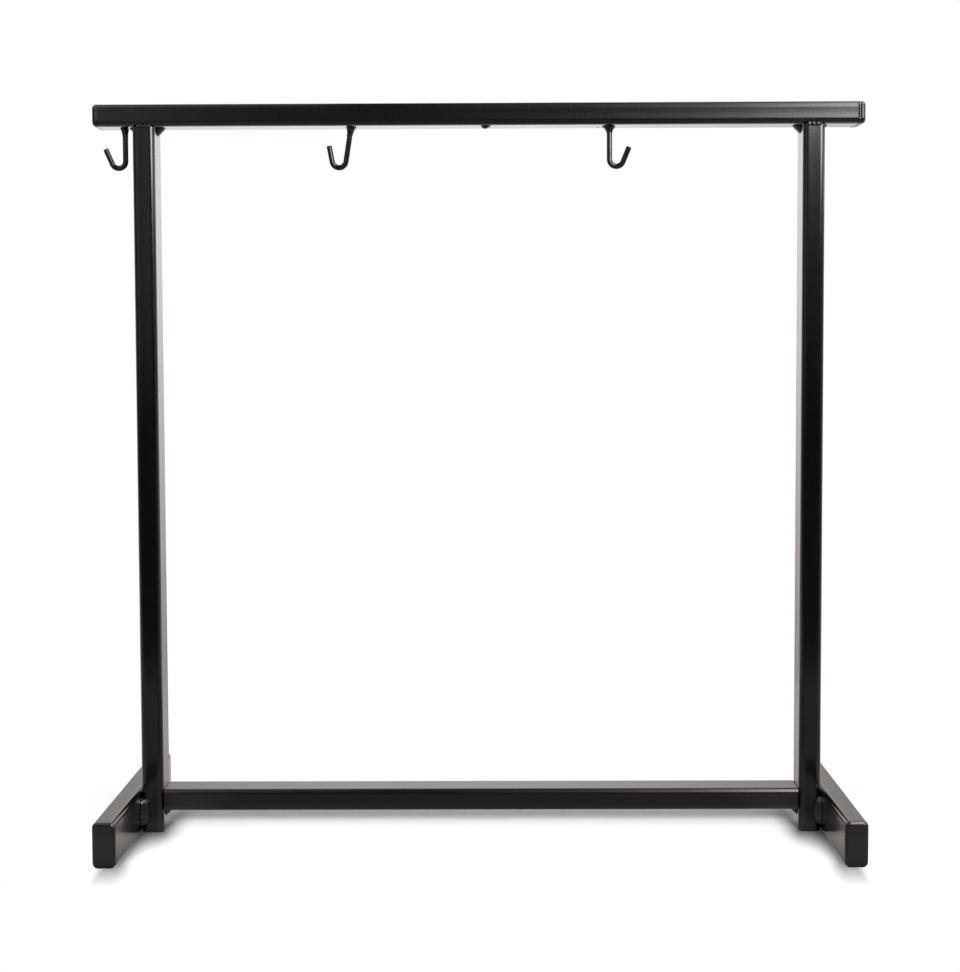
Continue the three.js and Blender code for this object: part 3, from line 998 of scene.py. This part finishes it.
# and of the dim room, by degrees round from the camera's side towards the right, and by height
roomGlow = (
    (-180, 0.9), (-140, 0.7), (-100, 0.3), (-70, 0.08), (-50, 0.04), (0, 0.035), (50, 0.04), (75, 0.2),
    (95, 0.4), (120, 0.75), (150, 0.9), (180, 0.9),
)
roomRise = ((-1.0, 6.0), (-0.42, 6.0), (-0.25, 1.0), (0.5, 1.0), (0.8, 0.7), (1.0, 0.4))


def stageMaterial(name):
    material = bpy.data.materials.new(name)
    material.use_nodes = True
    material.node_tree.nodes.clear()
    return material, material.node_tree


def endMaterial(tree, shader):
    output = addNode(tree, "ShaderNodeOutputMaterial")
    tree.links.new(shader, output.inputs["Surface"])


def addGlow(tree, colour, strength):
    return addNode(tree, "ShaderNodeEmission", {"Color": colour, "Strength": strength}).outputs[0]


def mixShaders(tree, share, first, second):
    node = addNode(tree, "ShaderNodeMixShader", {0: share})
    tree.links.new(first, node.inputs[1])
    tree.links.new(second, node.inputs[2])
    return node.outputs[0]


# How far a point lies past an edge, in shares of the reach.
def addReach(tree, value, edge, reach):
    past = addMath(tree, "SUBTRACT", value, edge)
    return addMath(tree, "MAXIMUM", addMath(tree, "DIVIDE", past, reach), 0.0)


def addLength(tree, first, second):
    squares = addMath(tree, "MULTIPLY", second, second)
    return addMath(tree, "SQRT", addMath(tree, "MULTIPLY_ADD", first, first, squares))


# Painted shadow: how much the paper's colour is darkened near the feet and the uprights.
def addShade(tree, sideways, depth):
    calc = partial(addMath, tree)
    foot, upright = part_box("right_foot"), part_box("right_upright")
    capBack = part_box("right_foot_cap_back")[1].y
    inwards = calc("MULTIPLY", sideways, -1.0)
    inside = addReach(tree, inwards, -foot[0].x, addProfile(tree, depth, shade["footInside"]))
    outside = addRange(tree, sideways, *(foot[1].x + reach for reach in shade["footOutside"]))
    nearEnd, pastEnd = shade["footEnd"]
    footFar = addLength(tree, calc("MAXIMUM", inside, outside),
                        addReach(tree, depth, capBack + nearEnd, pastEnd - nearEnd))
    sideReach, depthReach = shade["upright"]
    besideUpright = calc("MAXIMUM", addReach(tree, inwards, -upright[0].x, sideReach), outside)
    uprightFar = addLength(tree, besideUpright, addReach(tree, depth, upright[1].y, depthReach))
    return calc("MULTIPLY", addProfile(tree, footFar, shade["fall"]),
                addProfile(tree, uprightFar, shade["fall"]))


def sweepMaterial():
    material, tree = stageMaterial("whiteSweep")
    calc = partial(addMath, tree)
    place = addNode(tree, "ShaderNodeTexCoord").outputs["Object"]
    at = addNode(tree, "ShaderNodeSeparateXYZ", {0: place})
    ray = addNode(tree, "ShaderNodeLightPath")
    camera, glossy, bounce = (ray.outputs[f"Is {kind} Ray"] for kind in ("Camera", "Glossy", "Diffuse"))
    sideways = calc("ABSOLUTE", at.outputs["X"])
    depth = calc("ABSOLUTE", at.outputs["Y"])

    # lit paper, with painted shade darkening its colour close to the feet and the uprights
    grain = addRange(tree, addNoise(tree, place, 40.0, 3.0), 0.3, 0.7, 0.98, 1.0)
    paintedShade = calc("MULTIPLY", addShade(tree, sideways, depth), grain)
    paper = addNode(tree, "ShaderNodeBsdfDiffuse", {"Color": calc("MULTIPLY", paintedShade, studio["paper"])})

    # away from the stand the paper is plain white to the camera
    pastSide = addRange(tree, sideways, *studio["whiteSide"])
    pastFront = addRange(tree, at.outputs["Y"], *studio["whiteFront"])
    pastBack = addRange(tree, at.outputs["Y"], *studio["whiteBack"])
    past = calc("MAXIMUM", pastSide, calc("MAXIMUM", pastFront, pastBack))
    white = calc("MULTIPLY", past, camera)
    seen = mixShaders(tree, white, paper.outputs[0], addGlow(tree, plainWhite, 1.0))

    # painted reflection: the paper glows to glossy rays, more by the feet, with painted shade from
    # occlusion near the stand
    near = addNode(tree, "ShaderNodeAmbientOcclusion", {"Distance": studio["contact"]}, samples=8)
    atFeet = addRange(tree, sideways, *studio["footShine"])
    shine = calc("MULTIPLY", addProfile(tree, at.outputs["Y"], floorGlow), near.outputs["AO"])
    shine = calc("MULTIPLY", shine, atFeet)
    lit = mixShaders(tree, glossy, seen, addGlow(tree, (*studio["warm"], 1.0), shine))
    endMaterial(tree, mixShaders(tree, bounce, lit, addGlow(tree, plainWhite, 0.0)))
    return material


def sweepMesh():
    half, front, back = studio["sweepHalf"], studio["sweepFront"], studio["sweepBack"]
    curve, top = studio["sweepCurve"], studio["sweepTop"]
    profile = [(front + (back - curve - front) * step / 20, 0.0) for step in range(20)]
    for step in range(17):
        turn = step / 16 * math.pi / 2
        profile.append((back - curve + curve * math.sin(turn), curve - curve * math.cos(turn)))
    profile.append((back, top))
    points = [(x, y, z - studio["drop"]) for x in (-half, half) for y, z in profile]
    count = len(profile)
    mesh = bpy.data.meshes.new("paperSweep")
    mesh.from_pydata(points, [], [(i, i + count, i + count + 1, i + 1) for i in range(count - 1)])
    mesh.shade_smooth()
    return mesh


# Reflector behind the stand: only its reflection is seen.
def wallMaterial():
    material, tree = stageMaterial("paperWall")
    calc = partial(addMath, tree)
    at = addNode(tree, "ShaderNodeSeparateXYZ", {0: addNode(tree, "ShaderNodeTexCoord").outputs["Object"]})
    warmth = addRange(tree, at.outputs["Z"], *studio["wallWarmth"])
    rise = addRange(tree, at.outputs["Z"], *studio["wallRise"])
    low = addProfile(tree, at.outputs["X"], wallSpreadLow)
    high = addProfile(tree, at.outputs["X"], wallSpreadHigh)
    spread = calc("MULTIPLY_ADD", rise, calc("SUBTRACT", high, low), low)
    strength = calc("MULTIPLY", addProfile(tree, at.outputs["Z"], wallGlow), spread)
    endMaterial(tree, addGlow(tree, addBlend(tree, warmth, studio["warm"], studio["neutral"]), strength))
    return material


def wallMesh():
    mesh = bpy.data.meshes.new("paperWall")
    half, back, top = studio["wallHalf"], studio["wallBack"], studio["wallTop"]
    corners = [(-half, back, 0), (half, back, 0), (half, back, top), (-half, back, top)]
    mesh.from_pydata(corners, [], [(0, 1, 2, 3)])
    return mesh


def putOnStage(mesh, material):
    mesh.materials.append(material)
    item = bpy.data.objects.new(mesh.name, mesh)
    scene.collection.objects.link(item)
    return item


def makeWorld():
    world = bpy.data.worlds.new("studioRoom")
    world.use_nodes = True
    tree = world.node_tree
    tree.nodes.clear()
    calc = partial(addMath, tree)
    ray = addNode(tree, "ShaderNodeLightPath")
    direction = addNode(tree, "ShaderNodeTexCoord").outputs["Generated"]
    towards = addNode(tree, "ShaderNodeSeparateXYZ", {0: direction}).outputs
    around = calc("DEGREES", calc("ARCTAN2", towards["X"], calc("MULTIPLY", towards["Y"], -1.0)))
    room = calc("MULTIPLY", addProfile(tree, around, roomGlow), addProfile(tree, towards["Z"], roomRise))
    strength = calc("MAXIMUM", room, calc("MULTIPLY", ray.outputs["Is Diffuse Ray"], studio["roomLight"]))
    strength = calc("MAXIMUM", strength, ray.outputs["Is Camera Ray"])
    light = addNode(tree, "ShaderNodeBackground", {"Color": plainWhite, "Strength": strength})
    output = addNode(tree, "ShaderNodeOutputWorld")
    tree.links.new(light.outputs[0], output.inputs["Surface"])
    scene.world = world


# Light boxes: (x, y, lift, level) along each and (shift towards the back, z, level) up it. Lift adds to z,
# and the two levels multiply.
lightBoxes = {
    "softbox": {
        "across": (*((x, -2.5, 0.0, level) for x, level in (
            (-0.3, 0.0), (-0.05, 0.22), (0.2, 0.4), (0.35, 0.75), (0.49, 1.2), (0.63, 2.7), (0.73, 5.0),
            (0.86, 8.2))), (1.3, -2.25, -0.15, 9.0)),
        "up": ((0.0, 1.09, 0.0), (0.0, 1.17, 1.0), (0.0, 1.42, 0.85), (0.1, 1.7, 0.35), (0.4, 2.05, 0.7),
               (0.8, 2.3, 0.8), (1.2, 2.42, 0.55), (1.5, 2.45, 0.5), (1.9, 2.45, 0.9), (2.1, 2.45, 0.8),
               (2.6, 2.45, 0.3), (3.0, 2.45, 0.2), (3.3, 2.45, 0.0)),
    },
    "sideWing": {
        "across": ((1.3, -2.25, -0.15, 9.0), (1.9, -1.8, -0.18, 8.6), (2.4, -1.35, -0.12, 5.0),
                   (2.45, -1.3, 0.0, 0.0)),
        "up": ((0.0, 1.09, 0.0), (0.0, 1.17, 1.0), (0.0, 1.36, 0.9), (0.0, 1.56, 0.3), (0.1, 1.8, 0.08),
               (0.4, 2.1, 0.05), (0.8, 2.3, 0.05), (1.2, 2.42, 0.1), (1.9, 2.45, 0.3), (3.0, 2.45, 0.2),
               (3.3, 2.45, 0.0)),
    },
    "fillScreen": {
        "across": ((-2.4, -1.65, 0.0, 0.35), (-1.6, -2.35, 0.0, 0.4), (-0.9, -2.65, 0.0, 0.32),
                   (-0.66, -2.65, 0.0, 0.15), (-0.43, -2.65, 0.0, 0.1), (0.0, -2.65, 0.0, 0.1),
                   (0.6, -2.65, 0.0, 0.08), (1.2, -2.65, 0.0, 0.0)),
        "up": ((0.0, 0.3, 0.0), (0.0, 0.62, 0.7), (0.0, 0.95, 1.0), (0.3, 2.0, 1.0), (1.2, 2.6, 1.5),
               (1.9, 2.6, 3.0), (2.6, 2.6, 3.0), (3.1, 2.6, 0.0)),
    },
}


# They light the stand alone.
def makeLightBoxes():
    onlyStand = bpy.data.collections.new("litByBoxes")
    for piece in pieces:
        onlyStand.objects.link(piece)
    material, tree = stageMaterial("lightBox")
    glow = addNode(tree, "ShaderNodeAttribute", attribute_name="glow").outputs["Fac"]
    endMaterial(tree, addGlow(tree, plainWhite, glow))
    for name, box in lightBoxes.items():
        across, up = box["across"], box["up"]
        points = [(x, y + shift, z + lift) for shift, z, _ in up for x, y, lift, _ in across]
        levels = [side * rise for _, _, rise in up for *_, side in across]
        count = len(across)
        mesh = bpy.data.meshes.new(name)
        mesh.from_pydata(points, [], [
            (row * count + i, row * count + i + 1, (row + 1) * count + i + 1, (row + 1) * count + i)
            for row in range(len(up) - 1) for i in range(count - 1)])
        mesh.attributes.new("glow", "FLOAT", "POINT").data.foreach_set("value", levels)
        item = putOnStage(mesh, material)
        item.visible_camera = item.visible_shadow = False
        item.light_linking.receiver_collection = onlyStand


lamps = {
    "rightScreen": {"place": (3.0, 0.2, 1.9), "aim": (0.0, 0.2, 1.9), "size": (2.6, 2.0), "radiance": 0.8},
    "floorLampLow": {"place": (0.0, -2.6, 0.86), "aim": (0, 0, 0), "size": (1.0, 0.62), "radiance": 104.0},
    "floorLampHigh": {"place": (0.0, -2.6, 1.8), "aim": (0, 0, 0), "size": (1.0, 1.4), "radiance": 17.0},
}


# Floor lamps cast the crossbar's blurred shadow; that of the feet and uprights is painted into the paper.
def makeLamps(sweep):
    onlyFloor = bpy.data.collections.new("litByFloorLamp")
    onlyFloor.objects.link(sweep)
    onlyBar = bpy.data.collections.new("shadedByBar")
    onlyBar.objects.link(bpy.data.objects["crossbarTube"])
    for name, lamp in lamps.items():
        width, height = lamp["size"]
        data = bpy.data.lights.new(name, "AREA")
        data.shape = "RECTANGLE"
        data.size, data.size_y = width, height
        data.energy = lamp["radiance"] * math.pi * width * height
        light = bpy.data.objects.new(name, data)
        light.location = lamp["place"]
        towards = Vector(lamp["aim"]) - Vector(lamp["place"])
        light.rotation_euler = towards.to_track_quat("-Z", "Y").to_euler()
        light.visible_camera = False
        if name.startswith("floor"):
            light.visible_glossy = False
            light.light_linking.receiver_collection = onlyFloor
            light.light_linking.blocker_collection = onlyBar
        scene.collection.objects.link(light)


pieces = list(scene.collection.all_objects)
sweep = putOnStage(sweepMesh(), sweepMaterial())
wall = putOnStage(wallMesh(), wallMaterial())
wall.visible_camera = wall.visible_diffuse = wall.visible_shadow = False
makeWorld()
makeLightBoxes()
makeLamps(sweep)
print("studio lit")
